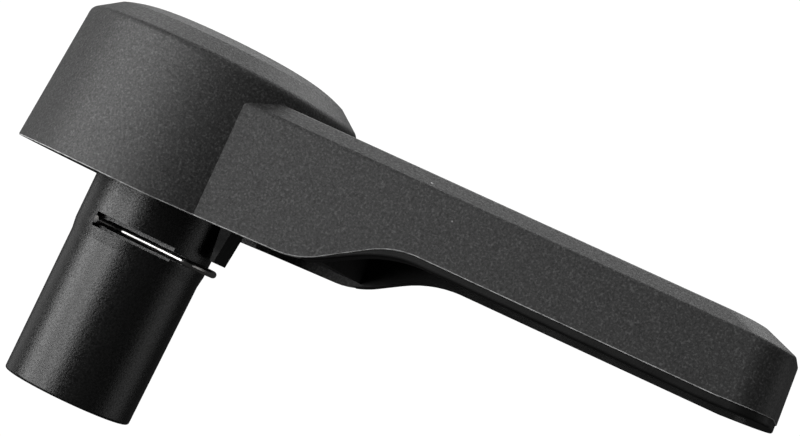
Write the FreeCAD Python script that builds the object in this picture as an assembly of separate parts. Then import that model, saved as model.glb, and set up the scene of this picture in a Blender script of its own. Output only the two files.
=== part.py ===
"""Lever handle with a tubular drive sleeve and a spring-wire retaining clip.

Millimetres. The origin is the centre of the sleeve's mouth, +Z runs up the drive axis
through the sleeve into the hub, and +X points along the arm to its tip. The handle is
symmetric about the XZ plane. Heights named h_* are measured from the hub's rim plane.
"""
import math
import os

import FreeCAD
import Part

# Driving dimensions
sleeve_length = 33.8  # from the hub's rim plane down to the mouth
rim_z = sleeve_length  # height of the hub's rim plane above the origin

hub_rim_r = 24.8
hub_shoulder_r = 23.35
h_hub_shoulder = 23.0
hub_bevel_r = 19.5
h_hub_bevel = 25.8
hub_crown_r = 13.0
h_hub_crown = 27.3
hub_crown_mid_r = 16.5
h_hub_crown_mid = 26.8
h_hub_top = 27.5
hub_soft_r = 0.8  # softening of the shoulder edge
hub_wall = 2.2
hub_roof = 2.4

arm_hub_x = 12.25  # where the arm's sides leave the hub
arm_hub_half = 21.3
arm_taper = 0.079
arm_tip_x = 101.85
arm_tip_corner_r = 6.8
arm_top_corner_r = 7.4
arm_least_corner_r = 1.0
arm_inner_x = 9.0  # where the outline turns in, inside the hub
h_arm_shoulder = 18.6
h_arm_top = 20.87
arm_rise = 1.2  # shoulder and top climb this much from the hub's axis to the tip
arm_draft = 1.0 / 19.2
arm_tip_draft = 0.086
arm_bevel = 3.0
arm_tip_bevel = 5.7
arm_soft_r = 0.8  # softening of the two creases round the bevel
shell_wall = 1.8
shell_roof = 2.0
cavity_bevel = 1.5
cavity_tip_bevel = 4.0
cavity_top_corner_r = 4.5

# Lower edges: the rim rises in an S from the hub to the arm
h_edge_root = 1.0
edge_root_x = 5.0
edge_start_x = 25.9
shell_edge_slope_deg = 33.3
shell_edge_low_r = 12.2
shell_edge_high_r = 13.5
frame_edge_slope_deg = 30.7
frame_edge_low_r = 15.2
frame_edge_high_r = 19.3
h_frame_edge = 7.79
h_shell_edge = 8.95
frame_edge_rise = 0.4  # along the arm, from where each edge levels out
shell_edge_rise = 0.6
tip_lift_x = 92.0
h_tip_lift = 0.8
frame_edge_soft_r = 0.4
shell_edge_soft_r = 0.15
edge_gap = 0.08

# Inner frame
frame_gap = 0.2
frame_wall = 1.6
lip_recess = 0.15
lip_start_x = 30.0
h_plate = 2.4
plate_thickness = 2.4
plate_r = 21.8
plate_hole_r = 11.5
h_web = 14.7
web_thickness = 1.8
bulkhead_x = 29.0
channel_x = 31.0
rib_x = (46.0, 56.0, 80.0)
rib_thickness = 1.4
rib_drop = 2.4
lug_inner_x = 11.5
lug_outer_x = 13.8
lug_inner_taper = 1.0
lug_outer_taper = 0.7
lug_half = 3.4
lug_depth = 4.8

# Drive sleeve
sleeve_top_r = 11.0
sleeve_mouth_r = 10.7
mouth_edge = 0.4
bore_r = 7.05
relief_r = 7.4  # the bore is wider from the windows up to the bush
flange_half = 14.2
flange_corner_r = 4.0
flange_thickness = 2.6
neck_r = 11.6
h_neck_top = 16.5
bush_r = 9.0
bush_flat = 8.1
h_bush = -3.6
bush_length = 16.0
bush_land = 2.0
serration_root_r = 7.05
serration_tip_r = 6.55
serrations = 24
window_floor = 7.8
wire_slot_floor = 5.8  # the clip legs lie in narrow slots that break into the bore
wire_slot_end_x = -3.7
wire_slot_gap = 0.1
window_end_x = -5.15
h_window_low = -7.65
h_window_high = -5.35
step_r = 0.25  # the tube is this much larger above the windows' lower edge
h_step_low = -9.5

# Spring-wire clip
wire_r = 0.575
clip_leg_y = 6.5
h_clip = -6.6
clip_bow_r = 12.3  # the bow runs round the outside of the tube
clip_corner_r = 1.6
clip_leg_end_x = -1.9
clip_tip_x = -4.7
clip_tip_y = 10.5
clip_tip_bend_r = 1.2

# Screws
screw_r = 1.5
screw_hole_r = 1.75
screw_pilot_r = 1.5
screw_head_r = 2.7
screw_head_height = 1.6
seat_depth = 1.0  # the heads under the hub sit this deep in the floor plate
seat_r = 2.85
head_gap = 0.05
flange_screw_at = 10.6
flange_boss_r = 3.2
flange_boss_height = 6.0
flange_screw_length = 8.0
hub_screw_x = -18.6
root_screw_x = 22.0
arm_screw_x = 68.0
cover_boss_r = 2.8
cover_screw_length = 8.0
arm_screw_length = 4.6
seat_recess = 0.6

over = 2.0  # how far a cutting tool stands past what it cuts
z_axis = FreeCAD.Vector(0, 0, 1)


def at(x, y, h):
    """A point given by its height over the hub's rim plane."""
    return FreeCAD.Vector(x, y, rim_z + h)


def cylinder(radius, x, y, h_low, h_high):
    return Part.makeCylinder(radius, h_high - h_low, at(x, y, h_low), z_axis)


def box(x_low, x_high, y_low, y_high, h_low, h_high):
    size = (x_high - x_low, y_high - y_low, h_high - h_low)
    return Part.makeBox(*size, at(x_low, y_low, h_low))


def fuse(shapes):
    return shapes[0].fuse(shapes[1:]).removeSplitter()


def tangent_edges(points, radii):
    """Closed loop of straight runs, with a tangent arc of radii[i] at points[i] where it is not 0."""
    count = len(points)
    ends = []
    for i in range(count):
        corner = points[i]
        to_last = (points[i - 1] - corner).normalize()
        to_next = (points[(i + 1) % count] - corner).normalize()
        if radii[i] == 0:
            ends.append((corner, None, corner))
            continue
        half = math.acos(max(-1.0, min(1.0, to_last.dot(to_next)))) / 2
        reach = radii[i] / math.tan(half)
        middle = (to_last + to_next).normalize()
        mid = corner + middle * (radii[i] / math.sin(half) - radii[i])
        ends.append((corner + to_last * reach, mid, corner + to_next * reach))
    edges = []
    for i in range(count):
        start, mid, end = ends[i]
        if mid is not None:
            edges.append(Part.Arc(start, mid, end).toShape())
        edges.append(Part.LineSegment(end, ends[(i + 1) % count][0]).toShape())
    return edges


def revolved(profile):
    """Solid of revolution about Z from a closed list of edges in the XZ plane."""
    face = Part.Face(Part.Wire(profile))
    return face.revolve(FreeCAD.Vector(0, 0, 0), z_axis, 360)


def hub_body(inset, h_floor):
    """The hub's round form, moved in by inset on every wall and open-ended at h_floor."""
    rise = h_hub_shoulder - h_floor
    slope = (hub_rim_r - hub_shoulder_r) / h_hub_shoulder
    low = at(hub_shoulder_r + slope * rise - inset, 0, h_floor)
    roof = inset * hub_roof / hub_wall
    shoulder = at(hub_shoulder_r - inset, 0, h_hub_shoulder - roof / 2)
    bevel = at(hub_bevel_r - inset / 2, 0, h_hub_bevel - roof)
    crown_mid = at(hub_crown_mid_r - inset / 2, 0, h_hub_crown_mid - roof)
    crown = at(hub_crown_r - inset / 2, 0, h_hub_crown - roof)
    top = at(0, 0, h_hub_top - roof)
    down = (low - shoulder).normalize()
    across = (bevel - shoulder).normalize()
    soft_mid = shoulder + (down + across) * (hub_soft_r / 4)
    profile = [
        Part.LineSegment(at(0, 0, h_floor), low).toShape(),
        Part.LineSegment(low, shoulder + down * hub_soft_r).toShape(),
        Part.Arc(shoulder + down * hub_soft_r, soft_mid, shoulder + across * hub_soft_r).toShape(),
        Part.LineSegment(shoulder + across * hub_soft_r, bevel).toShape(),
        Part.Arc(bevel, crown_mid, crown).toShape(),
        Part.LineSegment(crown, top).toShape(),
        Part.LineSegment(top, at(0, 0, h_floor)).toShape(),
    ]
    return revolved(profile)


def arm_outline(inset, tip_inset, h, corner_r, rise=0.0):
    """Plan outline of the arm, offset inwards, climbing by rise from height h at x = 0 to the tip."""
    half_at_zero = arm_hub_half + arm_taper * arm_hub_x - inset * math.hypot(1, arm_taper)
    inner_y = half_at_zero - arm_taper * arm_inner_x
    tip_x = arm_tip_x - tip_inset
    tip_y = half_at_zero - arm_taper * tip_x
    half = [(0, inner_y * 0.6), (arm_inner_x, inner_y), (tip_x, tip_y)]
    near = [at(x, -y, h + rise * x / arm_tip_x) for x, y in half]
    far = [at(x, y, h + rise * x / arm_tip_x) for x, y in reversed(half)]
    corner = min(max(corner_r, arm_least_corner_r), tip_y * 0.85)
    near_radii = [0, 0, corner]
    return Part.Wire(tangent_edges(near + far, near_radii + near_radii[::-1]))


def drafted_outline(inset, h, rise=0.0):
    """The arm's outline at height h on walls that lean in with the mould's draft."""
    corner_r = arm_tip_corner_r - inset
    return arm_outline(inset + arm_draft * h, inset + arm_tip_draft * h, h, corner_r, rise)


def arm_body(inset, h_floor, roof, bevel, tip_bevel, top_corner_r):
    """The arm's drafted block with a bevelled top, offset inwards by inset and down by roof."""
    h_shoulder = h_arm_shoulder - roof
    h_top = h_arm_top - roof
    shoulder = drafted_outline(inset, h_shoulder, arm_rise)
    wall = Part.makeLoft([drafted_outline(inset, h_floor), shoulder], True, True)
    top_inset = inset + arm_draft * h_shoulder + bevel
    top_tip_inset = inset + arm_tip_draft * h_shoulder + tip_bevel
    top = arm_outline(top_inset, top_tip_inset, h_top, top_corner_r, arm_rise)
    cap = Part.makeLoft([shoulder, top], True, True)
    return fuse([wall, cap])


def softened_arm():
    """The arm's outer block with the creases above and below its bevel rounded over."""
    arm = arm_body(0, 0, 0, arm_bevel, arm_tip_bevel, arm_top_corner_r)
    for h in (h_arm_shoulder, h_arm_top):
        arm = arm.makeFillet(arm_soft_r, climbing_edges(arm, h))
    return arm


def climbing_edges(shape, h):
    """The edges of shape that climb with the arm from height h at x = 0."""
    chosen = []
    for edge in shape.Edges:
        points = [edge.valueAt(edge.FirstParameter), edge.valueAt(edge.LastParameter)]
        heights = [point.z - rim_z - arm_rise * point.x / arm_tip_x for point in points]
        if max(abs(height - h) for height in heights) < 1e-4:
            chosen.append(edge)
    return chosen


def lower_edges(shape):
    """The edges where an upright face of shape meets one that looks down."""
    chosen = []
    for edge in shape.Edges:
        middle = edge.valueAt((edge.FirstParameter + edge.LastParameter) / 2)
        faces = shape.ancestorsOfType(edge, Part.Face)
        tilts = sorted(face.normalAt(*face.Surface.parameter(middle)).z for face in faces)
        if tilts[0] < -0.7 and abs(tilts[-1]) < 0.2:
            chosen.append(edge)
    return chosen


def edge_points(h_arm, slope_deg, low_r, high_r, rise):
    """Corners and radii of the lower edge line, from the hub to past the tip."""
    rise_x = edge_start_x + low_r * math.tan(math.radians(slope_deg / 2))
    level_x = rise_x + (h_arm - h_edge_root) / math.tan(math.radians(slope_deg))
    points = [
        (-hub_rim_r - over, 0),
        (edge_root_x, 0),
        (rise_x, h_edge_root),
        (level_x, h_arm),
        (tip_lift_x, h_arm + rise),
        (arm_tip_x + over, h_arm + rise + h_tip_lift),
    ]
    radii = [0, 0, low_r, high_r, 0, 0]
    return points, radii


def below_edge(points, radii, lift=0.0):
    """Everything under a lower edge line, which is raised by lift."""
    side = -hub_rim_r - over
    line = [at(x, side, h + lift) for x, h in points]
    depth = -h_shell_edge - over
    line.append(at(points[-1][0], side, depth))
    line.append(at(points[0][0], side, depth))
    face = Part.Face(Part.Wire(tangent_edges(line, radii + [0, 0])))
    return face.extrude(FreeCAD.Vector(0, -2 * side, 0))


def below_shell(lift=0.0):
    radii = (shell_edge_low_r, shell_edge_high_r)
    return below_edge(*edge_points(h_shell_edge, shell_edge_slope_deg, *radii, shell_edge_rise), lift)


def below_frame():
    radii = (frame_edge_low_r, frame_edge_high_r)
    return below_edge(*edge_points(h_frame_edge, frame_edge_slope_deg, *radii, frame_edge_rise))


def screw(x, y, h_seat, length):
    """Pan-head thread-forming screw driven upwards, with its head's flat on h_seat."""
    shank = cylinder(screw_r, x, y, h_seat, h_seat + length - screw_r)
    point = Part.makeCone(screw_r, screw_r / 4, screw_r, at(x, y, h_seat + length - screw_r), z_axis)
    head = cylinder(screw_head_r, x, y, h_seat - screw_head_height, h_seat)
    rim = [edge for edge in head.Edges if abs(edge.BoundBox.ZMax - rim_z - h_seat + screw_head_height) < 1e-6]
    head = head.makeFillet(screw_head_height / 2, rim)
    drive_r = screw_head_r * 0.45
    drive = hexagon(x, y, drive_r, h_seat - screw_head_height - over, h_seat - screw_head_height / 2)
    return fuse([head, shank, point]).cut(drive)


def hexagon(x, y, radius, h_low, h_high):
    corners = []
    for i in range(7):
        angle = math.radians(60 * i)
        corners.append(at(x + radius * math.cos(angle), y + radius * math.sin(angle), h_low))
    face = Part.Face(Part.makePolygon(corners))
    return face.extrude(FreeCAD.Vector(0, 0, h_high - h_low))


def flange_screw_places():
    return [(sx * flange_screw_at, sy * flange_screw_at) for sx in (-1, 1) for sy in (-1, 1)]


def outer_shell():
    """The one-piece cover of hub and arm, hollow and open underneath."""
    halves = []
    for half in (hub_body(0, 0), softened_arm()):
        half = half.cut(below_shell())
        halves.append(half.makeFillet(shell_edge_soft_r, lower_edges(half)))
    outside = fuse(halves)
    arm_cavity = arm_body(shell_wall, -over, shell_roof, cavity_bevel, cavity_tip_bevel, cavity_top_corner_r)
    cavity = fuse([hub_body(hub_wall, -over), arm_cavity])
    shell = outside.cut(cavity)
    h_plate_top = h_plate + plate_thickness
    h_seat = h_plate + seat_depth
    bosses = [
        cylinder(cover_boss_r, hub_screw_x, 0, h_plate_top + edge_gap, h_hub_bevel - hub_roof),
        cylinder(cover_boss_r, root_screw_x, 0, h_plate_top + edge_gap, h_arm_top - shell_roof / 2),
        cylinder(cover_boss_r, arm_screw_x, 0, h_web + web_thickness + edge_gap, h_arm_top),
    ]
    shell = fuse([shell] + bosses)
    pilots = [
        cylinder(screw_pilot_r, hub_screw_x, 0, 0, h_seat + cover_screw_length + over),
        cylinder(screw_pilot_r, root_screw_x, 0, 0, h_seat + cover_screw_length + over),
        cylinder(screw_pilot_r, arm_screw_x, 0, h_web, h_web + arm_screw_length + seat_recess),
    ]
    for pilot in pilots:
        shell = shell.cut(pilot)
    return shell


def inner_frame():
    """The hub's floor plate and the arm's inverted channel, moulded in one."""
    h_top = h_plate + plate_thickness
    inset = shell_wall + frame_gap
    outside = arm_inside(inset, h_plate, h_web + web_thickness)
    channel = arm_inside(inset + frame_wall, -over, h_web)
    arm = outside.cut(channel.common(box(channel_x, arm_tip_x, -hub_rim_r, hub_rim_r, -over, h_web)))
    arm = arm.cut(box(-hub_rim_r, bulkhead_x, -hub_rim_r, hub_rim_r, h_top, h_web + over + web_thickness))
    plate = cylinder(plate_r, 0, 0, h_plate, h_top)
    frame = fuse([plate, arm, frame_lip(inset + frame_wall)])
    ribs = []
    for x in rib_x:
        rib = box(x - rib_thickness / 2, x + rib_thickness / 2, -hub_rim_r, hub_rim_r, h_web - rib_drop, h_web)
        ribs.append(rib.common(outside))
    frame = fuse([frame] + ribs)
    frame = frame.cut(below_frame())
    frame = fuse([frame, lug()])
    frame = frame.cut(cylinder(plate_hole_r, 0, 0, -over, h_top + over))
    for x, y in flange_screw_places() + [(hub_screw_x, 0), (root_screw_x, 0)]:
        frame = frame.cut(cylinder(screw_hole_r, x, y, -over, h_top + over))
        frame = frame.cut(cylinder(seat_r, x, y, -over, h_plate + seat_depth))
    frame = frame.cut(cylinder(screw_hole_r, arm_screw_x, 0, h_web - over, h_web + web_thickness + over))
    return frame


def arm_inside(inset, h_floor, h_ceiling):
    """A drafted block with the arm's plan outline, offset inwards, between two heights."""
    return Part.makeLoft([drafted_outline(inset, h_floor), drafted_outline(inset, h_ceiling)], True, True)


def frame_lip(inner_inset):
    """The outward rim that the shell's lower edge sits on, rounded along its outside."""
    h_high = h_shell_edge + over
    lip = arm_inside(lip_recess, -over, h_high).cut(below_frame())
    lip = lip.makeFillet(frame_edge_soft_r, lower_edges(lip))
    lip = lip.cut(arm_inside(inner_inset, -over, h_high + over))
    lip = lip.common(box(lip_start_x, arm_tip_x, -hub_rim_r, hub_rim_r, 0, h_high))
    return lip.common(below_shell(-edge_gap))


def lug():
    """The rectangular stop that hangs beside the sleeve."""
    corners = [
        at(lug_inner_x, -lug_half, h_plate),
        at(lug_outer_x, -lug_half, h_plate),
        at(lug_outer_x - lug_outer_taper, -lug_half, -lug_depth),
        at(lug_inner_x + lug_inner_taper, -lug_half, -lug_depth),
        at(lug_inner_x, -lug_half, h_plate),
    ]
    face = Part.Face(Part.makePolygon(corners))
    return face.extrude(FreeCAD.Vector(0, 2 * lug_half, 0))


def drive_sleeve():
    """The tube that takes the spindle, with its flange and clip windows."""
    h_flange = h_plate + plate_thickness
    step_low_r = tube_r(h_step_low)
    tube_profile = [
        at(0, 0, -sleeve_length),
        at(sleeve_mouth_r, 0, -sleeve_length),
        at(step_low_r, 0, h_step_low),
        at(step_low_r + step_r, 0, h_window_low),
        at(sleeve_top_r + step_r, 0, 0),
        at(sleeve_top_r + step_r, 0, h_flange),
        at(neck_r, 0, h_flange + flange_thickness),
        at(neck_r, 0, h_neck_top),
        at(0, 0, h_neck_top),
    ]
    radii = [0, mouth_edge, 0, 0, 0, 0, 0, 0, 0]
    tube = revolved(tangent_edges(tube_profile, radii))
    flange = box(-flange_half, flange_half, -flange_half, flange_half, h_flange, h_flange + flange_thickness)
    upright = [edge for edge in flange.Edges if abs(edge.BoundBox.ZLength - flange_thickness) < 1e-6]
    flange = flange.makeFillet(flange_corner_r, upright)
    bosses = []
    for x, y in flange_screw_places():
        bosses.append(cylinder(flange_boss_r, x, y, h_flange, h_flange + flange_boss_height))
    sleeve = fuse([tube, flange] + bosses)
    sleeve = sleeve.cut(cylinder(bore_r, 0, 0, -sleeve_length - over, h_neck_top + over))
    sleeve = sleeve.cut(cylinder(relief_r, 0, 0, h_window_low, h_neck_top + over))
    sleeve = sleeve.cut(bush_blank(h_neck_top + over))
    slot_half = wire_r + wire_slot_gap
    openings = [
        (window_end_x, window_floor, h_window_low, h_window_high),
        (wire_slot_end_x, wire_slot_floor, h_clip - slot_half, h_clip + slot_half),
    ]
    for end_x, floor, h_low, h_high in openings:
        for side in (-1, 1):
            low, high = sorted((side * floor, side * (sleeve_top_r + over)))
            sleeve = sleeve.cut(box(end_x, sleeve_top_r + over, low, high, h_low, h_high))
    for x, y in flange_screw_places():
        h_end = h_plate + seat_depth + flange_screw_length + seat_recess
        sleeve = sleeve.cut(cylinder(screw_pilot_r, x, y, h_flange - over, h_end))
    return sleeve


def tube_r(h):
    """The tapered tube's radius below the hub's rim plane."""
    return sleeve_top_r + (sleeve_top_r - sleeve_mouth_r) * h / sleeve_length


def bush_blank(h_top):
    """The bush's outside: a cylinder with two flats, from its seat up to h_top."""
    blank = cylinder(bush_r, 0, 0, h_bush, h_top)
    return blank.common(box(-bush_r, bush_r, -bush_flat, bush_flat, h_bush, h_top))


def drive_bush():
    """The metal bush with inner serrations that grips the spindle's splined end."""
    h_top = h_bush + bush_length
    points = []
    for i in range(2 * serrations):
        radius = serration_root_r if i % 2 == 0 else serration_tip_r
        angle = math.pi * i / serrations
        points.append(at(radius * math.cos(angle), radius * math.sin(angle), h_bush - over))
    points.append(points[0])
    hole = Part.Face(Part.makePolygon(points)).extrude(FreeCAD.Vector(0, 0, bush_length + 2 * over))
    return bush_blank(h_top).cut(hole)


def retaining_clip():
    """The wire: two straight legs, a bow round the tube, and leg ends bent outwards."""
    tip = (clip_tip_x, clip_tip_y)
    bend = (clip_leg_end_x, clip_leg_y)
    # The corner between a leg and the bow's circle, rounded to a radius inside both
    inner_y = clip_leg_y - clip_corner_r
    inner_r = clip_bow_r - clip_corner_r
    round_x = math.sqrt(inner_r ** 2 - inner_y ** 2)
    round_angle = math.atan2(inner_y, round_x)
    half_turn = (math.pi / 2 + round_angle) / 2
    edges = []
    for side in (-1, 1):
        centre = at(round_x, side * inner_y, h_clip)
        leg_end = at(round_x, side * clip_leg_y, h_clip)
        mid = centre + FreeCAD.Vector(math.cos(half_turn), side * math.sin(half_turn), 0) * clip_corner_r
        bow_end = at(clip_bow_r * math.cos(round_angle), side * clip_bow_r * math.sin(round_angle), h_clip)
        leg = tangent_edges([at(*tip_at(tip, side)), at(*tip_at(bend, side)), leg_end], [0, clip_tip_bend_r, 0])
        part = leg[:-1] + [Part.Arc(leg_end, mid, bow_end).toShape()]
        edges.append((part, bow_end))
    near, far = edges
    bow = Part.Arc(near[1], at(clip_bow_r, 0, h_clip), far[1]).toShape()
    path = Part.Wire(Part.sortEdges(near[0] + [bow] + far[0])[0])
    start = at(tip[0], -tip[1], h_clip)
    heading = at(bend[0], -bend[1], h_clip) - start
    section = Part.Wire(Part.Circle(start, heading, wire_r).toShape())
    return path.makePipeShell([section], True, True)


def tip_at(point, side):
    return point[0], side * point[1], h_clip


def flange_screws():
    """Four screws that hold the sleeve's flange to the hub's floor plate."""
    screws = []
    for x, y in flange_screw_places():
        screws.append(screw(x, y, h_plate + seat_depth - head_gap, flange_screw_length))
    return Part.makeCompound(screws)


def cover_screws():
    """Three screws that hold the outer shell to the inner frame."""
    h_seat = h_plate + seat_depth - head_gap
    screws = [
        screw(hub_screw_x, 0, h_seat, cover_screw_length),
        screw(root_screw_x, 0, h_seat, cover_screw_length),
        screw(arm_screw_x, 0, h_web - head_gap, arm_screw_length),
    ]
    return Part.makeCompound(screws)


def main():
    os.makedirs("parts", exist_ok=True)
    nodes = {
        "outer_shell": outer_shell(),
        "inner_frame": inner_frame(),
        "drive_sleeve": drive_sleeve(),
        "drive_bush": drive_bush(),
        "retaining_clip": retaining_clip(),
        "flange_screws": flange_screws(),
        "cover_screws": cover_screws(),
    }
    for name, shape in nodes.items():
        shape.exportStep("parts/" + name + ".step")
        bounds = shape.BoundBox
        print(name, len(shape.Solids), shape.isValid(), round(shape.Volume, 1), bounds)


main()
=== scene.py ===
"""Looks of the winch handle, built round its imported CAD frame."""
import math

import bpy
from mathutils import Matrix, Vector

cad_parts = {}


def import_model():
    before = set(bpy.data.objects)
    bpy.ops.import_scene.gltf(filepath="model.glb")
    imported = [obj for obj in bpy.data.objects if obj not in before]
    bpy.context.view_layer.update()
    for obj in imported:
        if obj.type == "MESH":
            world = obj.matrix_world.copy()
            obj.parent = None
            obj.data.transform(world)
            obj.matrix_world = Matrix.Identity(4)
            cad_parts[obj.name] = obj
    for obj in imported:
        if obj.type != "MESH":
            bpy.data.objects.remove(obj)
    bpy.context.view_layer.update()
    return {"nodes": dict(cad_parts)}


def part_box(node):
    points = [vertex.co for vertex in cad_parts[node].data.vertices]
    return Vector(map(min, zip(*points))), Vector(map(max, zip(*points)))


MM = 0.001

# The camera, from the middle of the hub's rim plane: millimetres, degrees, and lens in millimetres
CAMERA_PLACE = Vector((114.7, -322.3, -2.7)) * MM
CAMERA_YAW = 103.71
CAMERA_PITCH = 2.89
CAMERA_ROLL = 25.9
CAMERA_LENS = 96.5

# The room: brightness of everything white that is seen, and of the even fill on the surfaces
WHITE = 1.05
FILL = 0.03
FLOOR_HEIGHT = -0.06
FLOOR_REACH = 6.0
LIT_FORWARD = 0.03  # the lights aim at a point this far along the arm
# name, azimuth and elevation in degrees, distance, width and height in metres, power in watts
LIGHTS = (
    ("side_left", -151, 10, 0.6, 0.28, 0.6, 2.75),
    ("front_left", -118, 5, 0.6, 0.25, 0.6, 2.2),
    ("over", -81, 62, 0.6, 0.6, 0.35, 0.45),
    ("over_back", 94, 55, 0.6, 0.8, 0.4, 2.7),
    ("back_left", 159, 10, 0.6, 0.4, 0.6, 0.32),
    ("end", 19, 5, 0.6, 0.4, 0.5, 0.32),
)


# ---------------------------------------------------------------- materials


class Shader:
    """A small helper that builds one material's node tree."""

    def __init__(self, name):
        self.material = bpy.data.materials.new(name)
        self.material.use_nodes = True
        self.tree = self.material.node_tree
        self.tree.nodes.clear()
        self.output = self.add("ShaderNodeOutputMaterial")
        self.surface = self.add("ShaderNodeBsdfPrincipled")
        self.link(self.surface.outputs["BSDF"], self.output.inputs["Surface"])
        self.place = self.add("ShaderNodeTexCoord").outputs["Object"]

    def add(self, kind, **values):
        node = self.tree.nodes.new(kind)
        for key, value in values.items():
            setattr(node, key, value)
        return node

    def link(self, source, target):
        self.tree.links.new(source, target)

    def set(self, **values):
        for key, value in values.items():
            self.surface.inputs[key.replace("_", " ")].default_value = value

    def stretched(self, scale):
        node = self.add("ShaderNodeMapping")
        node.inputs["Scale"].default_value = scale
        self.link(self.place, node.inputs["Vector"])
        return node.outputs["Vector"]

    def noise(self, size, detail=2.0, rough=0.5, place=None):
        """Noise whose features are about size metres across."""
        node = self.add("ShaderNodeTexNoise")
        node.inputs["Scale"].default_value = 1.0 / size
        node.inputs["Detail"].default_value = detail
        node.inputs["Roughness"].default_value = rough
        self.link(place or self.place, node.inputs["Vector"])
        return node.outputs["Fac"]

    def cells(self, size):
        node = self.add("ShaderNodeTexVoronoi")
        node.inputs["Scale"].default_value = 1.0 / size
        self.link(self.place, node.inputs["Vector"])
        return node

    def spread(self, value, low, high, to_low=0.0, to_high=1.0):
        """Maps low..high of value to to_low..to_high."""
        node = self.add("ShaderNodeMapRange")
        self.link(value, node.inputs["Value"])
        for key, number in (("From Min", low), ("From Max", high), ("To Min", to_low), ("To Max", to_high)):
            node.inputs[key].default_value = number
        return node.outputs["Result"]

    def times(self, a, b):
        """The product of a socket and either a number or another socket."""
        node = self.add("ShaderNodeMath", operation="MULTIPLY")
        self.link(a, node.inputs[0])
        if isinstance(b, float):
            node.inputs[1].default_value = b
        else:
            self.link(b, node.inputs[1])
        return node.outputs["Value"]

    def mix(self, share, a, b):
        """Colour a where share is 0 and colour b where it is 1; each is a colour or a socket."""
        node = self.add("ShaderNodeMix", data_type="RGBA")
        self.link(share, node.inputs["Factor"])
        for socket, value in ((node.inputs["A"], a), (node.inputs["B"], b)):
            if isinstance(value, tuple):
                socket.default_value = value
            else:
                self.link(value, socket)
        return node.outputs["Result"]

    def bump(self, height, distance, strength, below=None):
        node = self.add("ShaderNodeBump")
        node.inputs["Strength"].default_value = strength
        node.inputs["Distance"].default_value = distance
        self.link(height, node.inputs["Height"])
        if below is not None:
            self.link(below, node.inputs["Normal"])
        return node.outputs["Normal"]


def grey(value, warm=0.0):
    return (value * (1 + warm), value, value * (1 - warm), 1.0)


def textured_plastic():
    """Spark-textured dark grey moulding with painted glints on its grain, dust specks and a painted pale
    highlight along its downward-facing rim.
    """
    s = Shader("textured_grey_plastic")
    grain = s.noise(0.00036, 3.0, 0.7)
    fine = s.noise(0.00016, 2.0, 0.6)
    cloud = s.noise(0.011, 3.0, 0.55)
    colour = s.mix(s.spread(grain, 0.34, 0.66), grey(0.006), grey(0.04))
    colour = s.mix(s.spread(cloud, 0.3, 0.75, 0.0, 0.2), colour, grey(0.036))
    # painted glints: pale flecks mixed into the base colour stand in for highlights on the grain
    painted_glints = s.spread(s.noise(0.00034, 2.0), 0.52, 0.74)
    colour = s.mix(s.times(painted_glints, 0.6), colour, grey(0.12))
    facing = s.add("ShaderNodeSeparateXYZ")
    s.link(s.add("ShaderNodeNewGeometry").outputs["True Normal"], facing.inputs["Vector"])
    # painted highlight: faces turned downwards are painted pale grey in uneven patches, standing in for the
    # white below reflected along the rim
    highlight_patches = s.spread(s.noise(0.0011, 3.0), 0.3, 0.6, 0.4, 1.0)
    painted_underside_highlight = s.times(s.spread(facing.outputs["Z"], -0.06, -0.25), highlight_patches)
    colour = s.mix(painted_underside_highlight, colour, grey(0.75))
    specks = s.spread(s.cells(0.0062).outputs["Distance"], 0.028, 0.045, 1.0, 0.0)
    rare = s.spread(s.noise(0.014, 1.0), 0.6, 0.63)
    colour = s.mix(s.times(specks, rare), colour, grey(0.5))
    s.link(colour, s.surface.inputs["Base Color"])
    s.link(s.spread(grain, 0.3, 0.7, 0.62, 0.46), s.surface.inputs["Roughness"])
    coarse = s.bump(grain, 0.00005, 0.6)
    s.link(s.bump(fine, 0.00003, 0.5, coarse), s.surface.inputs["Normal"])
    return s.material


def frame_plastic():
    """Smooth, near-black moulding with faint flow marks."""
    s = Shader("smooth_black_plastic")
    flow = s.noise(0.002, 3.0, 0.6, s.stretched((0.25, 1.0, 1.0)))
    grain = s.noise(0.0003, 2.0, 0.6)
    colour = s.mix(s.spread(flow, 0.3, 0.7), grey(0.006), grey(0.011))
    s.link(colour, s.surface.inputs["Base Color"])
    s.link(s.spread(flow, 0.3, 0.7, 0.42, 0.6), s.surface.inputs["Roughness"])
    s.set(Specular_IOR_Level=0.22)
    s.link(s.bump(grain, 0.00004, 0.5), s.surface.inputs["Normal"])
    return s.material


def sleeve_plastic():
    """Satin black with a fine pebble grain that breaks up its highlight."""
    s = Shader("satin_black_plastic")
    grain = s.noise(0.00034, 3.0, 0.72)
    sparkle = s.noise(0.00032, 2.0, 0.6)
    colour = s.mix(s.spread(grain, 0.35, 0.7), grey(0.006), grey(0.016))
    s.link(colour, s.surface.inputs["Base Color"])
    s.link(s.spread(sparkle, 0.4, 0.6, 0.36, 0.14), s.surface.inputs["Roughness"])
    s.link(s.bump(grain, 0.00006, 0.9), s.surface.inputs["Normal"])
    return s.material


def wire_steel():
    """Bright drawn spring wire with fine die lines along it."""
    s = Shader("drawn_spring_wire")
    lines = s.noise(0.00012, 3.0, 0.6, s.stretched((0.05, 1.0, 1.0)))
    tarnish = s.noise(0.0016, 3.0, 0.6)
    colour = s.mix(s.spread(tarnish, 0.4, 0.75), grey(0.62, 0.01), grey(0.34, 0.05))
    s.link(colour, s.surface.inputs["Base Color"])
    s.set(Metallic=1.0)
    s.link(s.spread(tarnish, 0.35, 0.75, 0.16, 0.34), s.surface.inputs["Roughness"])
    s.link(s.bump(lines, 0.00001, 0.5), s.surface.inputs["Normal"])
    return s.material


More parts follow.
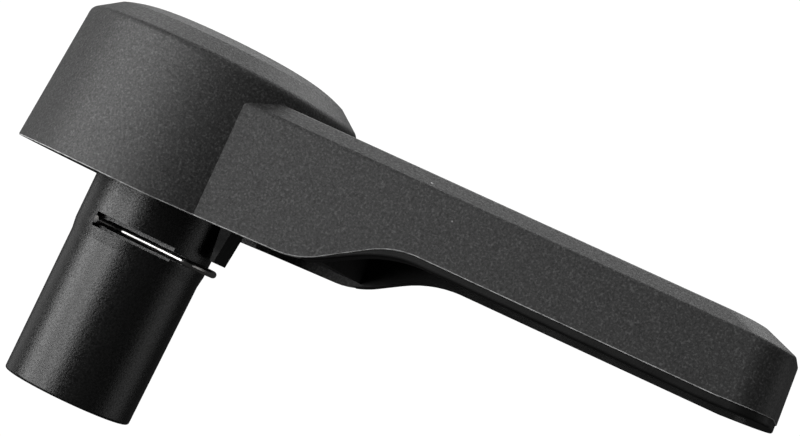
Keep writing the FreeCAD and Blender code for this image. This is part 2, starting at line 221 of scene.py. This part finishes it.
def sintered_steel():
    """Pressed and sintered bush: dull, with pores."""
    s = Shader("sintered_steel")
    pores = s.cells(0.0005)
    tone = s.noise(0.002, 3.0, 0.6)
    colour = s.mix(s.spread(tone, 0.3, 0.7), grey(0.3), grey(0.46))
    dark = s.spread(pores.outputs["Distance"], 0.1, 0.3, 0.7, 0.0)
    s.link(s.mix(dark, colour, grey(0.08)), s.surface.inputs["Base Color"])
    s.set(Metallic=1.0)
    s.link(s.spread(tone, 0.3, 0.7, 0.34, 0.52), s.surface.inputs["Roughness"])
    s.link(s.bump(s.spread(pores.outputs["Distance"], 0.05, 0.3), 0.00003, 0.6), s.surface.inputs["Normal"])
    return s.material


def zinc_steel():
    """Zinc-plated screws: cool grey with a slightly worn, mottled plating."""
    s = Shader("zinc_plated_steel")
    mottle = s.noise(0.0009, 4.0, 0.65)
    colour = s.mix(s.spread(mottle, 0.35, 0.7), grey(0.5, -0.02), grey(0.32, 0.03))
    s.link(colour, s.surface.inputs["Base Color"])
    s.set(Metallic=1.0)
    s.link(s.spread(mottle, 0.3, 0.7, 0.26, 0.44), s.surface.inputs["Roughness"])
    s.link(s.bump(mottle, 0.00002, 0.5), s.surface.inputs["Normal"])
    return s.material


# ---------------------------------------------------------------- studio


def direction(azimuth_deg, elevation_deg):
    azimuth, elevation = math.radians(azimuth_deg), math.radians(elevation_deg)
    flat = math.cos(elevation)
    return Vector((flat * math.cos(azimuth), flat * math.sin(azimuth), math.sin(elevation)))


def softbox(name, centre, azimuth, elevation, distance, width, height, power):
    """A rectangular area light, that far from centre in that direction, and facing it."""
    light = bpy.data.lights.new(name, "AREA")
    light.shape = "RECTANGLE"
    light.size = width
    light.size_y = height
    light.energy = power
    holder = bpy.data.objects.new(name, light)
    bpy.context.scene.collection.objects.link(holder)
    away = direction(azimuth, elevation)
    holder.location = centre + away * distance
    holder.rotation_euler = away.to_track_quat("Z", "Y").to_euler()


def world_light():
    """A white room for the eye, and a dimmer even fill for the surfaces."""
    world = bpy.data.worlds.new("studio")
    bpy.context.scene.world = world
    world.use_nodes = True
    tree = world.node_tree
    tree.nodes.clear()
    output = tree.nodes.new("ShaderNodeOutputWorld")
    seen = tree.nodes.new("ShaderNodeBackground")
    fill = tree.nodes.new("ShaderNodeBackground")
    pick = tree.nodes.new("ShaderNodeMixShader")
    path = tree.nodes.new("ShaderNodeLightPath")
    seen.inputs["Color"].default_value = (1, 1, 1, 1)
    seen.inputs["Strength"].default_value = WHITE
    fill.inputs["Color"].default_value = (1, 1, 1, 1)
    fill.inputs["Strength"].default_value = FILL
    tree.links.new(path.outputs["Is Camera Ray"], pick.inputs["Fac"])
    tree.links.new(fill.outputs["Background"], pick.inputs[1])
    tree.links.new(seen.outputs["Background"], pick.inputs[2])
    tree.links.new(pick.outputs["Shader"], output.inputs["Surface"])


def pale_floor():
    """A white floor below the handle which blends into the white room and is clear from underneath."""
    mesh = bpy.data.meshes.new("floor")
    turns = ((-1, -1), (1, -1), (1, 1), (-1, 1))
    corners = [(x * FLOOR_REACH, y * FLOOR_REACH, FLOOR_HEIGHT) for x, y in turns]
    mesh.from_pydata(corners, [], [(0, 1, 2, 3)])
    floor = bpy.data.objects.new("floor", mesh)
    bpy.context.scene.collection.objects.link(floor)
    material = bpy.data.materials.new("white_floor")
    material.use_nodes = True
    tree = material.node_tree
    tree.nodes.clear()
    output = tree.nodes.new("ShaderNodeOutputMaterial")
    glow = tree.nodes.new("ShaderNodeEmission")
    glow.inputs["Color"].default_value = (1, 1, 1, 1)
    glow.inputs["Strength"].default_value = WHITE
    clear = tree.nodes.new("ShaderNodeBsdfTransparent")
    side_seen = tree.nodes.new("ShaderNodeNewGeometry")
    pick = tree.nodes.new("ShaderNodeMixShader")
    tree.links.new(side_seen.outputs["Backfacing"], pick.inputs["Fac"])
    tree.links.new(glow.outputs["Emission"], pick.inputs[1])
    tree.links.new(clear.outputs["BSDF"], pick.inputs[2])
    tree.links.new(pick.outputs["Shader"], output.inputs["Surface"])
    mesh.materials.append(material)
    floor.visible_diffuse = False
    floor.visible_glossy = False
    floor.visible_shadow = False


def camera_at(place):
    """The camera at place, looking along its yaw and pitch and turned about its own axis by its roll."""
    data = bpy.data.cameras.new("camera")
    data.lens = CAMERA_LENS
    data.sensor_width = 36.0
    data.clip_start = 0.01
    data.clip_end = 20.0
    holder = bpy.data.objects.new("camera", data)
    bpy.context.scene.collection.objects.link(holder)
    ahead = direction(CAMERA_YAW, CAMERA_PITCH)
    roll = Matrix.Rotation(math.radians(CAMERA_ROLL), 3, "Z")
    turn = ahead.to_track_quat("-Z", "Y").to_matrix() @ roll
    holder.matrix_world = Matrix.Translation(place) @ turn.to_4x4()
    bpy.context.scene.camera = holder


def main():
    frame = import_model()
    nodes = frame["nodes"]
    screws = zinc_steel()
    finish = {
        "outer_shell": textured_plastic(),
        "inner_frame": frame_plastic(),
        "drive_sleeve": sleeve_plastic(),
        "drive_bush": sintered_steel(),
        "retaining_clip": wire_steel(),
        "flange_screws": screws,
        "cover_screws": screws,
    }
    for name, material in finish.items():
        nodes[name].data.materials.clear()
        nodes[name].data.materials.append(material)

    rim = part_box("outer_shell")[0].z
    hub = Vector((0, 0, rim))
    camera_at(hub + CAMERA_PLACE)
    world_light()
    pale_floor()
    for name, *settings in LIGHTS:
        softbox(name, hub + Vector((LIT_FORWARD, 0, 0)), *settings)
    bpy.context.scene.view_settings.view_transform = "Standard"


main()
